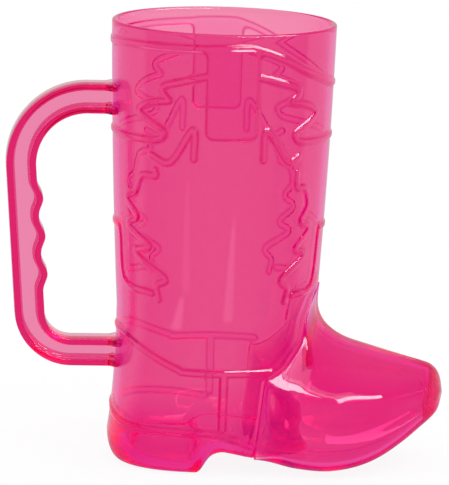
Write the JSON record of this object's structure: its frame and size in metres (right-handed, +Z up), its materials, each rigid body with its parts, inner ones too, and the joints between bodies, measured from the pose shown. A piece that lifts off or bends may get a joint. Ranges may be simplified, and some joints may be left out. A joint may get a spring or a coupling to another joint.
{
  "type": "boot mug",
  "caption": "Drinking mug shaped like a western boot, with an open leg as the cup, a hollow toe, a block heel and a finger-grip handle at the back.",
  "frame": {"origin": "centre of the bounding box's bottom face, on the table under the mug", "axes": "+X towards the boot's toe, +Y towards the boot's left side, +Z up towards the rim"},
  "size_m": [0.1792, 0.0918, 0.1786],
  "materials": {
    "clear_pink": "clear, moulded gloss"
  },
  "bodies": {
    "root": {"leg_cup": "clear_pink", "toe_shell": "clear_pink", "handle": "clear_pink"}
  },
  "joints": []
}
